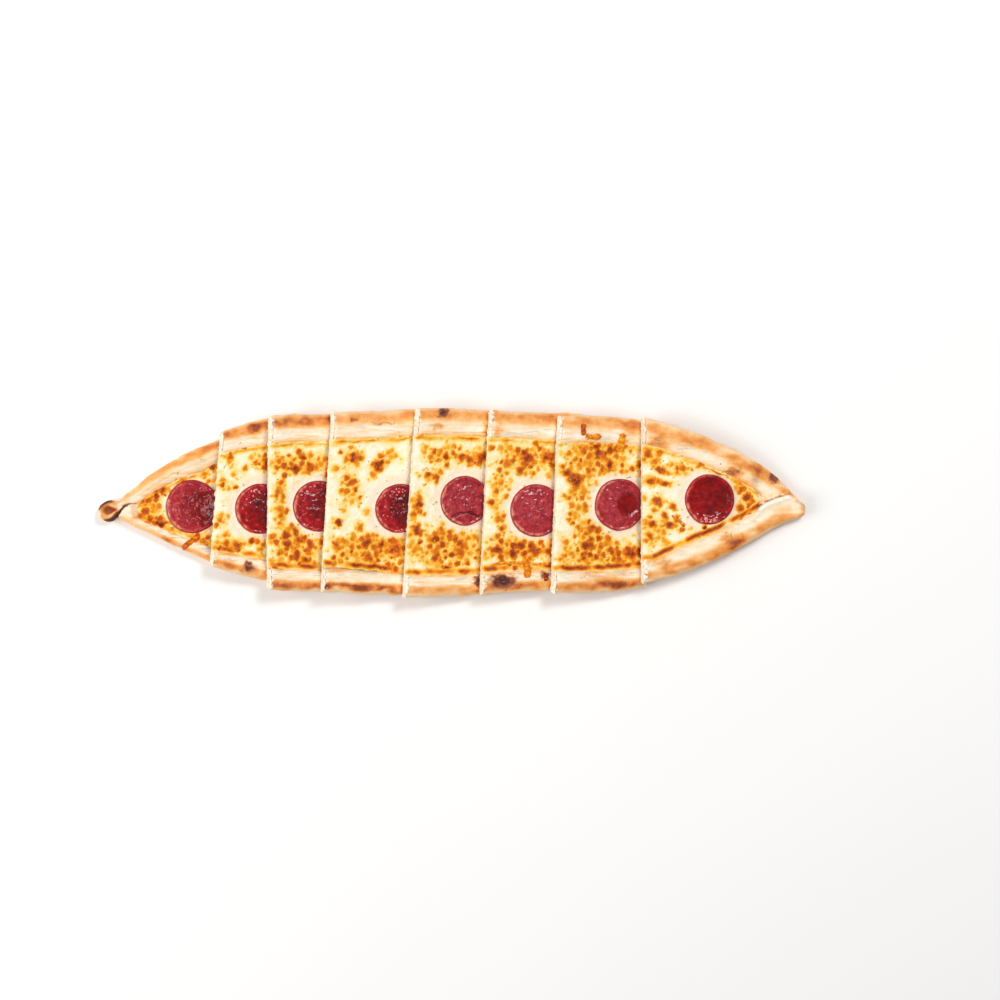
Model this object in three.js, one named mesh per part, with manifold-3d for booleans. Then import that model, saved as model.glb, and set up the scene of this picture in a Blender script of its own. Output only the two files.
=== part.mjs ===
// A Turkish pide with cheese and sucuk: a boat-shaped flatbread, cut across into eight slices that lie
// shingled in a row.
// Millimetres, +Z up. The row runs along X with its curled tip at low X. The origin is the centre of its
// footprint, on the surface that it lies on.
// A slice is three pieces in the uncut loaf's own axes, s along the loaf and y across it: the bread with
// its folded-in rims, the cheese that fills the tray between them from cut to cut, and a round of sucuk
// set into the cheese.
// The first slice lies flat. Each later one is turned about its lower right edge until it rests on the
// slice before it.
import * as THREE from "three";
import { mergeVertices } from "three/addons/utils/BufferGeometryUtils.js";
import Module from "manifold-3d";

const wasm = await Module();
wasm.setup();
const { clamp, degToRad, lerp, smoothstep } = THREE.MathUtils;

// Clearance between pieces that touch in the real food.
const GAP = 0.35;

// The loaf's outline: a boat that is widest a little past its middle and is pinched to a knob at each tip.
const LOAF_WIDTH = 120;
const SHOULDER_SHARE = 0.935; // width either side of the bulge, as a share of the full width
const BULGE_AT = 274;
const BULGE_REACH = 62;
const NECK = 8; // where the boat shape starts, inside the left knob
const LEFT_TAPER = 152;
const RIGHT_TAPER = 140;
const TAPER_POWER = 0.8;
const LEFT_KNOB_RADIUS = 7;
const RIGHT_KNOB_RADIUS = 5.5;
const LEFT_DROOP = { by: 6.8, reach: 30 }; // how far each tip bends towards low Y
const RIGHT_DROOP = { by: 5.8, reach: 14 };
const DIMPLE = { radius: 3.6, depth: 4.5 }; // the hollow in the middle of the curled left knob

// The section across the loaf, as heights above its underside.
const FLOOR = 4.2;
const SIDE_HEIGHT = 3.6; // where the side bulges out most
const UPPER_RIM_HEIGHT = 9;
const LOWER_RIM_HEIGHT = 9.5;
const OUTER_ROUND = 6; // depth of the rim's round outer shoulder
const INNER_ROUND = 3; // depth of its inner shoulder, which drops to the tray
const RIM_FALL = 0.8; // how much lower the inner shoulder is than the crest
const HEEL = { inset: 2.8, middle: 0.8, rise: 1 }; // the rounded lower edge
const NOSE = 4; // length over which a tip rounds down to nothing
const NOSE_FOOT = 3.8; // how far inside a tip the loaf touches what it lies on
const TIP_DEPTH = 0.2; // where the first station lies, inside the tip
const CHEESE_TOP = 6.8;
const CHEESE_EDGE = 0.7; // chamfer along the cheese's upper edges
const CHEESE_TIP_WIDTH = 5; // tray width at which the cheese starts near a tip
const CUT_SETBACK = 1.6; // how far a cut leans inwards over the rim's height

// A round of sucuk: its edge cups upwards, and it sits this deep in the cheese.
const SUCUK_THICKNESS = 3;
const SUCUK_DISH = 0.8;
const SUCUK_SEAT = 1.2;

// Slices from the left tip. length is along the bread, pitch is from the right end of the slice before to
// its own, shift is sideways, and lean is the angle in degrees of its right cut from square. The round of
// sucuk lies `back` from the right cut and `side` from the loaf's axis.
const SLICES = [
  { length: 84.5, pitch: 84.5, shift: 0, lean: 4.4, sucuk: { back: 24, side: -3.7, radius: 17 } },
  { length: 51.4, pitch: 40.9, shift: 1.3, lean: 0.5, sucuk: { back: 23.7, side: -6.4, radius: 16 } },
  { length: 57, pitch: 38.4, shift: -1.2, lean: 3.5, sucuk: { back: 25.8, side: -1.9, radius: 16.3 } },
  { length: 69, pitch: 49.3, shift: -0.8, lean: 4, sucuk: { back: 22.8, side: -3.8, radius: 15.6 } },
  { length: 57.4, pitch: 41, shift: -1, lean: 3, sucuk: { back: 22.5, side: 1.3, radius: 15.8 } },
  { length: 61, pitch: 51.8, shift: -0.7, lean: 2.3, sucuk: { back: 28.6, side: -5.4, radius: 16.8 } },
  { length: 60, pitch: 42.9, shift: -2.2, lean: 0, sucuk: { back: 18.8, side: -0.2, radius: 16.5 } },
  { length: 105.3, pitch: 101.8, shift: 0.3, lean: 0, sucuk: { back: 62.6, side: 0.6, radius: 16 } },
];

// How finely the faceted solids are made.
const MIDDLE_STATIONS = 7;
const TIP_STATIONS = 18;
const TIP_CROWDING = 1.8; // above 1, stations crowd towards the tip
const SUCUK_SIDES = 26;
const DIMPLE_SIDES = 14;
const TESTED_STATIONS = 60; // stations tested for one slice resting on another

let loafLength = 0;
SLICES.forEach((slice, i) => {
  slice.start = loafLength;
  loafLength += slice.length;
  slice.end = loafLength;
  slice.startLean = i ? SLICES[i - 1].lean : 0;
  slice.leftTip = i === 0;
  slice.rightTip = i === SLICES.length - 1;
  slice.foot = slice.rightTip ? NOSE_FOOT : 0;
});

// Width of the loaf ---------------------------------------------------------------------------------------

function taper(share) {
  return Math.sin((Math.PI / 2) * clamp(share, 0, 1)) ** TAPER_POWER;
}

function knobHalfWidth(depth, radius) {
  return Math.sqrt(Math.max(0, radius ** 2 - (depth - radius) ** 2));
}

function halfWidth(s) {
  const bulge = Math.exp(-(((s - BULGE_AT) / BULGE_REACH) ** 2));
  const boat =
    (LOAF_WIDTH / 2) *
    lerp(SHOULDER_SHARE, 1, bulge) *
    taper((s - NECK) / LEFT_TAPER) *
    taper((loafLength - s) / RIGHT_TAPER);
  const knobs = Math.max(
    knobHalfWidth(s, LEFT_KNOB_RADIUS),
    knobHalfWidth(loafLength - s, RIGHT_KNOB_RADIUS),
  );
  return Math.max(boat, knobs);
}

function middleLine(s) {
  const droop = (tip, depth) => tip.by * Math.exp(-((depth / tip.reach) ** 2));
  return -droop(LEFT_DROOP, s) - droop(RIGHT_DROOP, loafLength - s);
}

// Width of the folded-in rim on the high-Y side, and on the low-Y side.
function upperRim(s) {
  return lerp(9, 18.5, smoothstep(s, 20, 130)) - 4 * smoothstep(s, 440, 510);
}

function lowerRim(s) {
  return lerp(8, 15, smoothstep(s, 20, 150)) + 4.5 * smoothstep(s, 440, 475);
}

function trayWidth(s) {
  return 2 * halfWidth(s) - upperRim(s) - lowerRim(s);
}

// Sections ------------------------------------------------------------------------------------------------

// One rim from its outer side to the tray, as [distance from the outer side, height]. open is 0 where the
// two rims meet near a tip, so that there is no tray between them, and 1 where there is.
function rimSection(width, height, open) {
  const points = [];
  for (const angle of [0, 22.5, 45, 67.5, 90].map(degToRad))
    points.push([
      OUTER_ROUND * (1 - Math.cos(angle)),
      SIDE_HEIGHT + (height - SIDE_HEIGHT) * Math.sin(angle),
    ]);
  const shoulder = height - RIM_FALL;
  const drop = (shoulder - FLOOR) * open;
  for (const angle of [0, 35, 65, 90].map(degToRad))
    points.push([
      width - INNER_ROUND * (1 - Math.sin(angle)),
      shoulder - drop * (1 - Math.cos(angle)),
    ]);
  return points;
}

// The bread's closed section at s, as [y, z], from the high-Y side over the top to the low-Y side and back
// below.
function breadSection(s) {
  const half = halfWidth(s);
  const middle = middleLine(s);
  const squeeze = Math.min(1, (2 * half) / (upperRim(s) + lowerRim(s)));
  const open = smoothstep(trayWidth(s), 0, 3);
  const upper = rimSection(upperRim(s), UPPER_RIM_HEIGHT, open);
  const lower = rimSection(lowerRim(s), LOWER_RIM_HEIGHT, open).reverse();
  const heel = Math.min(HEEL.inset, half * 0.45);
  const heelMiddle = Math.min(HEEL.middle, half * 0.2);
  const section = [
    ...upper.map(([depth, z]) => [half - depth * squeeze, z]),
    ...lower.map(([depth, z]) => [depth * squeeze - half, z]),
    [heelMiddle - half, HEEL.rise],
    [heel - half, 0],
    [half - heel, 0],
    [half - heelMiddle, HEEL.rise],
  ];
  const depth = Math.min(s, loafLength - s);
  const round = Math.sqrt(1 - (1 - Math.min(1, depth / NOSE)) ** 2);
  return section.map(([y, z]) => [middle + y, SIDE_HEIGHT + (z - SIDE_HEIGHT) * round]);
}

function cheeseSection(s) {
  const half = halfWidth(s);
  const high = half - upperRim(s) - GAP;
  const low = lowerRim(s) + GAP - half;
  const middle = middleLine(s);
  return [
    [high, FLOOR + GAP],
    [high, CHEESE_TOP - CHEESE_EDGE],
    [high - CHEESE_EDGE, CHEESE_TOP],
    [low + CHEESE_EDGE, CHEESE_TOP],
    [low, CHEESE_TOP - CHEESE_EDGE],
    [low, FLOOR + GAP],
  ].map(([y, z]) => [middle + y, z]);
}

// Lofts ---------------------------------------------------------------------------------------------------

// A section of a slice set in place. The cut leans in plan, and its top is set back from its foot.
function placedSection(slice, s, section) {
  const share = (s - slice.start) / slice.length;
  const lean = Math.tan(degToRad(lerp(slice.startLean, slice.lean, share)));
  const setback =
    (slice.leftTip ? 0 : CUT_SETBACK * (1 - share)) - (slice.rightTip ? 0 : CUT_SETBACK * share);
  return section(s).map(
    ([y, z]) => new THREE.Vector3(s + y * lean + (setback * z) / LOWER_RIM_HEIGHT, y, z),
  );
}

// A closed mesh through a row of sections with equal numbers of points, with a flat cap at each end.
function loft(sections) {
  const count = sections[0].length;
  const position = sections.flat().flatMap((p) => p.toArray());
  const index = [];
  for (let i = 0; i + 1 < sections.length; i++)
    for (let j = 0; j < count; j++) {
      const k = (j + 1) % count;
      const [a, b] = [i * count + j, i * count + k];
      index.push(a, b, a + count, b, b + count, a + count);
    }
  const flat = (section) => section.map((p) => new THREE.Vector2(p.y, p.z));
  const last = (sections.length - 1) * count;
  for (const [a, b, c] of THREE.ShapeUtils.triangulateShape(flat(sections[0]), []))
    index.push(a, c, b);
  for (const [a, b, c] of THREE.ShapeUtils.triangulateShape(flat(sections.at(-1)), []))
    index.push(last + a, last + b, last + c);
  return new THREE.BufferGeometry()
    .setAttribute("position", new THREE.Float32BufferAttribute(position, 3))
    .setIndex(index);
}

// Stations along a slice, from its left end to its right one, crowded towards a tip.
function stations(slice) {
  const { start, end, leftTip, rightTip } = slice;
  const steps = leftTip || rightTip ? TIP_STATIONS : MIDDLE_STATIONS;
  const shares = Array.from({ length: steps + 1 }, (_, i) => i / steps);
  if (leftTip) return shares.map((share) => lerp(TIP_DEPTH, end, share ** TIP_CROWDING));
  if (rightTip)
    return shares.map((share) => lerp(end - TIP_DEPTH, start, (1 - share) ** TIP_CROWDING));
  return shares.map((share) => lerp(start, end, share));
}

function solidOf(geometry) {
  const bare = new THREE.BufferGeometry()
    .setAttribute("position", geometry.getAttribute("position"))
    .setIndex(geometry.index);
  const merged = mergeVertices(bare, 1e-4);
  return new wasm.Manifold(
    new wasm.Mesh({
      numProp: 3,
      vertProperties: new Float32Array(merged.getAttribute("position").array),
      triVerts: new Uint32Array(merged.index.array),
    }),
  );
}

function geometryOf(solid) {
  const mesh = solid.getMesh();
  return new THREE.BufferGeometry()
    .setAttribute("position", new THREE.BufferAttribute(mesh.vertProperties, 3))
    .setIndex(new THREE.BufferAttribute(mesh.triVerts, 1));
}

// A solid turned about Z from [radius, height] points that start and end on the axis, lowest first.
function turned(points, sides) {
  const profile = points.map(([radius, height]) => new THREE.Vector2(radius, height));
  return new THREE.LatheGeometry(profile, sides).rotateX(Math.PI / 2);
}

// Pieces --------------------------------------------------------------------------------------------------

function breadGeometry(slice) {
  const bread = loft(stations(slice).map((s) => placedSection(slice, s, breadSection)));
  if (!slice.leftTip) return bread;
  const { radius, depth } = DIMPLE;
  const floor = LOWER_RIM_HEIGHT - depth;
  const above = LOWER_RIM_HEIGHT + 3;
  const dimple = turned(
    [
      [0, floor],
      [radius * 0.7, floor + 0.8],
      [radius, above],
      [0, above],
    ],
    DIMPLE_SIDES,
  ).translate(LEFT_KNOB_RADIUS, middleLine(LEFT_KNOB_RADIUS), 0);
  return geometryOf(solidOf(bread).subtract(solidOf(dimple)));
}

function sucukCentre(slice) {
  return { s: slice.end - slice.sucuk.back, y: slice.sucuk.side };
}

function cheeseGeometry(slice) {
  const filled = stations(slice).filter((s) => trayWidth(s) > CHEESE_TIP_WIDTH);
  const sheet = loft(filled.map((s) => placedSection(slice, s, cheeseSection)));
  const { s, y } = sucukCentre(slice);
  const radius = slice.sucuk.radius + GAP;
  const seat = turned(
    [
      [0, 0],
      [radius, 0],
      [radius, SUCUK_THICKNESS],
      [0, SUCUK_THICKNESS],
    ],
    SUCUK_SIDES,
  ).translate(s, y, CHEESE_TOP - SUCUK_SEAT - GAP);
  return geometryOf(solidOf(sheet).subtract(solidOf(seat)));
}

function sucukGeometry(slice) {
  const { radius } = slice.sucuk;
  const top = SUCUK_THICKNESS;
  const { s, y } = sucukCentre(slice);
  return turned(
    [
      [0, 0],
      [radius - 1.4, 0],
      [radius - 0.3, 0.6],
      [radius, 1.5],
      [radius - 0.3, top - 0.3],
      [radius - 1.2, top],
      [radius * 0.72, top - SUCUK_DISH * 0.7],
      [0, top - SUCUK_DISH],
    ],
    SUCUK_SIDES,
  ).translate(s, y, CHEESE_TOP - SUCUK_SEAT);
}

// Placing the slices --------------------------------------------------------------------------------------

// Points on a placed slice that another one might rest on, in the row's axes.
function topPoints(slice) {
  const points = [];
  for (let i = 0; i <= TESTED_STATIONS; i++) {
    const s = clamp(
      lerp(slice.start, slice.end, i / TESTED_STATIONS),
      TIP_DEPTH,
      loafLength - TIP_DEPTH,
    );
    points.push(...placedSection(slice, s, breadSection));
  }
  const { s, y } = sucukCentre(slice);
  const edge = slice.sucuk.radius - 0.3;
  for (let i = 0; i < SUCUK_SIDES; i++) {
    const angle = (i / SUCUK_SIDES) * 2 * Math.PI;
    points.push(
      new THREE.Vector3(
        s + edge * Math.cos(angle),
        y + edge * Math.sin(angle),
        CHEESE_TOP - SUCUK_SEAT + SUCUK_THICKNESS,
      ),
    );
  }
  return points.map((p) => p.applyMatrix4(slice.matrix));
}

// The angle at which a slice, turning about its lower right edge at x = hinge, just clears the one before
// it.
function restingAngle(slice, before, hinge) {
  const lean = Math.tan(degToRad(slice.lean));
  const startLean = Math.tan(degToRad(slice.startLean));
  const reachLeft = slice.length - slice.foot;
  let steepest = 0;
  for (const p of topPoints(before)) {
    const y = p.y - slice.shift;
    const past = p.x - (hinge - reachLeft + y * startLean);
    const reach = (hinge + y * lean - p.x) * Math.cos(degToRad(slice.lean));
    if (past > -1 && reach > 1) steepest = Math.max(steepest, (p.z + GAP) / reach);
  }
  return Math.atan(steepest);
}

// The matrix from the loaf's axes to the row's, where the lower right edge stays on the surface as the
// hinge.
function placing(slice, before, rightEnd) {
  const hinge = rightEnd - slice.foot;
  const angle = before ? restingAngle(slice, before, hinge) : 0;
  const lean = degToRad(slice.lean);
  const axis = new THREE.Vector3(Math.sin(lean), Math.cos(lean), 0);
  return new THREE.Matrix4()
    .makeTranslation(hinge, slice.shift, 0)
    .multiply(new THREE.Matrix4().makeRotationAxis(axis, angle))
    .multiply(new THREE.Matrix4().makeTranslation(slice.foot - slice.end, 0, 0));
}

const breadMaterial = new THREE.MeshStandardMaterial({ color: "#e6a463", roughness: 0.75 });
const cheeseMaterial = new THREE.MeshStandardMaterial({ color: "#f5d79c", roughness: 0.5 });
const sucukMaterial = new THREE.MeshStandardMaterial({ color: "#8a1c1e", roughness: 0.3 });

function sliceGroup(slice, number) {
  const group = new THREE.Group();
  const add = (name, geometry, material) => {
    const mesh = new THREE.Mesh(geometry, material);
    mesh.name = `${name}_${number}`;
    geometry.computeVertexNormals();
    group.add(mesh);
  };
  add("bread", breadGeometry(slice), breadMaterial);
  add("cheese", cheeseGeometry(slice), cheeseMaterial);
  add("sucuk", sucukGeometry(slice), sucukMaterial);
  slice.matrix.decompose(group.position, group.quaternion, group.scale);
  return group;
}

const row = new THREE.Group();
let rightEnd = 0;
SLICES.forEach((slice, i) => {
  rightEnd += slice.pitch;
  slice.matrix = placing(slice, SLICES[i - 1], rightEnd);
  row.add(sliceGroup(slice, i + 1));
});

// The origin is moved to the centre of the footprint.
const centre = new THREE.Box3().setFromObject(row, true).getCenter(new THREE.Vector3());
row.position.set(-centre.x, -centre.y, 0);

const pide = new THREE.Group();
pide.name = "pide";
pide.add(row);

export default pide;
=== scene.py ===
"""The looks of a sliced Turkish pide with cheese and sucuk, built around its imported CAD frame.

A slice is shaped in the uncut loaf's own millimetres: s along the loaf from its left tip, y across it and z
up from its underside. It is then set into the row, in metres, where the slice of the CAD model lies.
"""

from math import cos, pi, radians, sin, tan

import bmesh
import bpy
import numpy as np
from mathutils import Matrix, Vector


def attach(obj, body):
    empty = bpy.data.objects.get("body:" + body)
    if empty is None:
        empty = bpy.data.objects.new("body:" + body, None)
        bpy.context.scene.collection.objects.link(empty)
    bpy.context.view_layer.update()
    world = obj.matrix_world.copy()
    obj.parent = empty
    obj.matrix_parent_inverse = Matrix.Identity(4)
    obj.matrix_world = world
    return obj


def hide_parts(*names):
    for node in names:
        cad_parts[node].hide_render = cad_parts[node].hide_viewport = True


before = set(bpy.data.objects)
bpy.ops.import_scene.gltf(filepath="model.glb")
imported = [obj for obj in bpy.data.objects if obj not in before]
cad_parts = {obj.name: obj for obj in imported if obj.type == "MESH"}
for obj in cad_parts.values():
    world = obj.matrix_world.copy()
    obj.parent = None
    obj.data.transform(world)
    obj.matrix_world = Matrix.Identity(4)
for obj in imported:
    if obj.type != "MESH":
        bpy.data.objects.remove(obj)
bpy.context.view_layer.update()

MM = 0.001

# The loaf's outline and section, as in the CAD model.
LOAF_WIDTH = 120
SHOULDER_SHARE = 0.935
BULGE_AT = 274
BULGE_REACH = 62
NECK = 8
LEFT_TAPER = 152
RIGHT_TAPER = 140
TAPER_POWER = 0.8
LEFT_KNOB_RADIUS = 7
RIGHT_KNOB_RADIUS = 5.5
LEFT_DROOP = (6.8, 30)
RIGHT_DROOP = (5.8, 14)
FLOOR = 4.2
SIDE_HEIGHT = 3.6
UPPER_RIM_HEIGHT = 9
LOWER_RIM_HEIGHT = 9.5
OUTER_ROUND = 6
INNER_ROUND = 3
RIM_FALL = 0.8
HEEL = 2.8
NOSE = 4
TIP_DEPTH = 0.2
CHEESE_TOP = 6.8
CUT_SETBACK = 1.6
SUCUK_THICKNESS = 3
SUCUK_BASE = 5.6  # height of a round's underside over the loaf's
UPPER_RIM_WIDTH = (9, 18.5)  # near the left tip, and where the loaf is broad
LOWER_RIM_WIDTH = (8, 15)
UPPER_RIM_GROWS = (20, 130)  # the stretch of the loaf over which it widens
LOWER_RIM_GROWS = (20, 150)
LEFT_FLAP = 5.5  # how much further the upper rim laps over the filling near the left tip
RIGHT_FLAP = 1.3  # the same near the right tip
LOWER_RIGHT_FLAP = 4.5

# Grid steps along and across a slice, and how many columns, layers or sides the smaller stretches have.
BREAD_STEP = 0.75
CHEESE_STEP = 0.5
TIP_CROWDING = 1.4  # power by which stations crowd towards a tip
SHOULDER_COLUMNS = 10
CREST_COLUMNS = 17
WALL_COLUMNS = 8
TRAY_COLUMNS = 66
CUT_LAYERS = 11
SKIRT_LAYERS = 6
SUCUK_SIDES = 144
SUCUK_RINGS = 42
SHRED_SIDES = 14
FAR = 99  # stands for a depth or a distance that is out of an edge's reach

# Slices from the left tip: length along the loaf, and the right cut's angle from square in degrees. The round
# of sucuk lies `back` from the right cut and `side` from the axis.
SLICES = [
    dict(length=84.5, lean=4.4, back=24, side=-3.7, radius=17),
    dict(length=51.4, lean=0.5, back=23.7, side=-6.4, radius=16),
    dict(length=57, lean=3.5, back=25.8, side=-1.9, radius=16.3),
    dict(length=69, lean=4, back=22.8, side=-3.8, radius=15.6),
    dict(length=57.4, lean=3, back=22.5, side=1.3, radius=15.8),
    dict(length=61, lean=2.3, back=28.6, side=-5.4, radius=16.8),
    dict(length=60, lean=0, back=18.8, side=-0.2, radius=16.5),
    dict(length=105.3, lean=0, back=62.6, side=0.6, radius=16),
]
LOAF_LENGTH = sum(spec["length"] for spec in SLICES)

# Where the cheese browned on each slice: from its left cut, across the loaf, half length, half width and
# strength. A patch stronger than SCORCHED also shows as one brown spot. One narrow strip on slice 7 is
# browned cheese with a painted shadow on it.
BROWNED_AND_SHADED = [
    [(37, 5, 9, 5, 1.1), (38, -10, 10, 5, 1.2), (67, 22, 6, 5, 1.1), (70, -22, 6, 4, 1.2),
     (48, 13, 8, 2, 0.7), (66, 24, 3.5, 3, 1.35), (41, -14, 7, 1.8, 1.4), (42, 7, 3.5, 3, 1.35),
     (31, 1, 6, 6, 0.8)],
    [(6, 26, 3, 3, 1), (10, 17, 3, 4, 0.7), (28, 24, 9, 5, 0.9), (3, 9, 4, 4, 1), (3, -14, 4, 4, 0.9),
     (11, -28, 12, 4, 1.1), (14, -29, 4, 2, 1.35), (28, -27, 7, 2, 1), (32, 23, 4, 3, 1.3),
     (6, 26, 2.5, 2, 1.3)],
    [(20, 26, 22, 6, 1.1), (6, 4, 4, 13, 1), (20, -24, 19, 13, 1.2), (25, -36, 3, 2, 1.5),
     (38, 18, 2, 6, 1.4), (14, 22, 5, 2.5, 1.35), (20, -23, 5, 3, 1.35)],
    [(13, 30, 6, 5, 0.9), (31, 23, 4, 4.5, 1.5), (39, 30, 4, 3, 0.8), (12, 10, 6, 13, 0.75),
     (20, -14, 3, 3, 1), (6, -13, 3, 3, 0.8), (8, -25, 6, 3, 1), (27, -25, 4, 3, 1.45),
     (36, -26, 4, 3, 1.3), (46, -29, 5, 6, 1.3), (30, -31, 24, 8, 1.2), (15, 28, 3.5, 4, 1.35)],
    [(18, 29, 11, 5, 1), (42, 29, 9, 6, 1.2), (12, 17, 6, 4, 0.9), (4, 0, 3, 6, 1.4), (4, -17, 3, 4, 1.35),
     (26, -28, 26, 11, 1.15), (26, -41, 4, 1.5, 1.4), (44, 29, 5, 4, 1.35)],
    [(24, 26, 22, 8, 1), (9, 0, 7, 18, 0.45), (24, -28, 24, 9, 1.2), (24, 29, 5, 4, 1.4),
     (38, 29, 5, 4, 1.35), (21, -28, 5, 3, 1.4), (33, -31, 7, 2.5, 1.35), (9, -30, 4, 2.5, 1.35)],
    # On slice 7, the strip 57 mm from the left cut and 23 mm across is the next slice's shadow, painted on
    # browned cheese.
    [(24, 31, 20, 8, 1.1), (12, 15, 5, 4, 1.6), (5, 20, 4, 3, 1.35), (36, 24, 11, 8, 1), (18, 8, 9, 8, 0.6),
     (10, -9, 3, 3, 1.1), (24, -18, 10, 12, 1), (19, -26, 3.5, 3.5, 1.5), (18, -34, 3, 2, 1.4),
     (51, -31, 6, 3, 1.45), (7, -30, 5, 6, 0.8), (32, -31, 20, 8, 1.2), (57, 23, 2, 6, 1.5),
     (10, 2, 4, 14, 0.45), (26, 33, 3, 4, 1.45)],
    [(4, 26, 6, 6, 0.8), (11, 19, 3, 2.5, 1.4), (23, 20, 9, 5, 0.75), (4, 12, 4, 3, 1.35),
     (13, 11, 5, 2, 1.3), (8, -1, 5, 2.5, 1.3), (18, -4, 3, 2.5, 1.3), (11, -12, 7, 2, 0.9),
     (21, -13, 2, 5, 0.9), (17, -16, 3, 2.5, 1.35), (3, -20, 5, 8, 1.1), (10, -24, 4, 3, 1),
     (67, 2, 2.5, 4, 1.4), (62, -5, 3, 3, 1.4), (39, -17, 2, 2, 1.5), (43, 21, 9, 2, 0.9),
     (62, 8, 6, 3, 0.8), (60, 2, 9, 9, 0.5)],
]
SCORCHED = 1.25

# How brown the upper and the lower rim of each slice are.
CRUST = [
    (0.4, 0.2), (0.44, 0.34), (0.54, 0.4), (0.26, 0.62), (0.3, 0.3), (0.36, 0.42), (0.28, 0.36), (0.18, 0.28),
]

# Dark marks on the rims, in the same terms, with a negative strength for a smudge that only browns.
BURNS = [
    [(60, 37, 12, 2.5, -0.5), (35, 24, 10, 2, -0.4), (24, -11, 3, 2, -0.6), (48, -24, 5, 3, -0.4)],
    [(21, -43, 3.5, 3, 0.5), (26, -45, 5, 4, 0.18), (10, -40, 5, 3, -0.5), (22, 43, 4, 4, -0.7)],
    [(6, -40, 5, 1.5, 0.6), (3, -52, 3, 2, -0.5), (10, -53, 4, 3, -0.5)],
    [(16, -40, 7, 1.2, -0.9), (12, 52, 3, 1, 0.35), (33, 50, 10, 0.8, 0.25)],
    [(17, 57, 3.8, 3.4, 0.6), (13, 48, 5, 2, -0.9), (48, 46, 3, 5, -0.9), (50, -50, 6, 3.6, 0.8)],
    [(12, -50, 8, 4, 0.8), (39, -46, 2.5, 3.5, 0.4), (4, 45, 2.5, 4, -0.6)],
    [(20, -45, 6, 3.5, 0.16), (31, -47, 8, 4, -0.7), (46, -44, 6, 3, 0.16), (40, -50, 9, 3, -0.5),
     (50, 46, 5, 6, -0.35)],
    [(9, 37, 8, 5, -0.75), (7, 38, 5, 3, 0.2), (32, 37, 14, 4, -0.45), (57, 18, 7, 5, -0.8),
     (57, 18, 4.5, 3, 0.34), (72, 21, 6, 3.5, -0.7), (84, 14, 4, 2.8, 0.5), (77, 17, 6, 3, -0.6),
     (68, 12, 7, 3, -0.5), (12, -40, 7, 4, -0.5), (12, -40, 5, 3, 0.16), (54, -24, 7, 4, -0.6),
     (54, -24, 5, 3, 0.2), (60, -32, 12, 3, -0.5), (103, -6, 3, 4, -0.4), (90, -8, 8, 4, -0.4)],
]

# How each round of sucuk looks: how far its middle domes, wet red or dry mauve, dark or light, how many pale
# specks show, partly bits of fatty meat and partly painted sheen, a greasy pool with its size and place in
# shares of the radius, and a crack's depth.
PLAIN_ROUND = dict(pool=0, size=0.5, at=(0, 0), crack=0)
ROUNDS = [
    dict(dome=0.9, wet=0.45, dark=0.5, fat_and_sheen=0.4, pool=0.8, size=0.62, at=(0.6, -0.1)),
    dict(dome=1, wet=0.85, dark=0.8, fat_and_sheen=0.4, pool=0.5, at=(-0.3, -0.5)),
    dict(dome=0.9, wet=0.85, dark=0.7, fat_and_sheen=0.4),
    dict(dome=0.9, wet=0.9, dark=0.95, fat_and_sheen=0.4),
    dict(dome=0.4, wet=0.05, dark=0.1, fat_and_sheen=0.7, crack=1.3),
    dict(dome=1, wet=0.05, dark=0, fat_and_sheen=1),
    dict(dome=0.8, wet=0.15, dark=0.1, fat_and_sheen=0.8, pool=1, size=0.42, at=(0.3, -0.02)),
    dict(dome=-0.5, wet=1, dark=0.5, fat_and_sheen=0.2, pool=1, size=0.76, at=(0.03, 0.03)),
]


# --- Numbers ---


def lerp(a, b, share):
    return a + (b - a) * share


def smoothstep(x, low, high):
    t = np.clip((x - low) / (high - low), 0, 1)
    return t * t * (3 - 2 * t)


def hump(x, middle=0, reach=1):
    """1 at the middle, falling off on both sides like a bell."""
    return np.exp(-(((x - middle) / reach) ** 2))


def quarter_round(share):
    """Height of a quarter circle, 0 to 1, at a share of its radius."""
    return np.sqrt(1 - (1 - share) ** 2)


def on_plane(s, y):
    """Points at s and y, all at height 0."""
    return np.stack([s, y, np.zeros_like(s)], 1)


def spread(value, like):
    """A number or a row, repeated to the shape of another array."""
    return np.broadcast_to(np.asarray(value, float), like.shape)


class Noise:
    """Repeatable smooth noise in space, about -1 to 1."""

    def __init__(self, seed):
        rng = np.random.default_rng(seed)
        self.order = np.tile(rng.permutation(256), 3)
        directions = rng.normal(size=(256, 3))
        self.slopes = directions / np.linalg.norm(directions, axis=1, keepdims=True)

    def layer(self, points):
        cell = np.floor(points).astype(int)
        inside = points - cell
        ease = inside**3 * (inside * (inside * 6 - 15) + 10)
        cell &= 255
        total = 0
        for corner in np.ndindex(2, 2, 2):
            a, b, c = (cell + corner).T
            slope = self.slopes[self.order[self.order[self.order[a] + b] + c]]
            weight = np.prod(np.where(corner, ease, 1 - ease), axis=1)
            total = total + weight * np.sum(slope * (inside - corner), axis=1)
        return 1.6 * total

    def __call__(self, points, size, octaves=1):
        scaled = points / np.asarray(size, float)
        return sum(self.layer(scaled * 2**i + 31.7 * i) / 2**i for i in range(octaves))


def pores(points, size, seed):
    """1 in the middle of each randomly placed cell, falling to 0 half a cell away."""
    table = np.random.default_rng(seed).random((4096, 3))
    scaled = points / size
    cell = np.floor(scaled).astype(int)
    nearest = np.full(len(points), 9.0)
    for step in np.ndindex(3, 3, 3):
        other = cell + np.array(step) - 1
        key = (other[:, 0] * 73856093 ^ other[:, 1] * 19349663 ^ other[:, 2] * 83492791) % 4096
        nearest = np.minimum(nearest, np.linalg.norm(other + table[key] - scaled, axis=1))
    return np.clip(1 - 2 * nearest, 0, 1)


# --- The loaf ---


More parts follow.
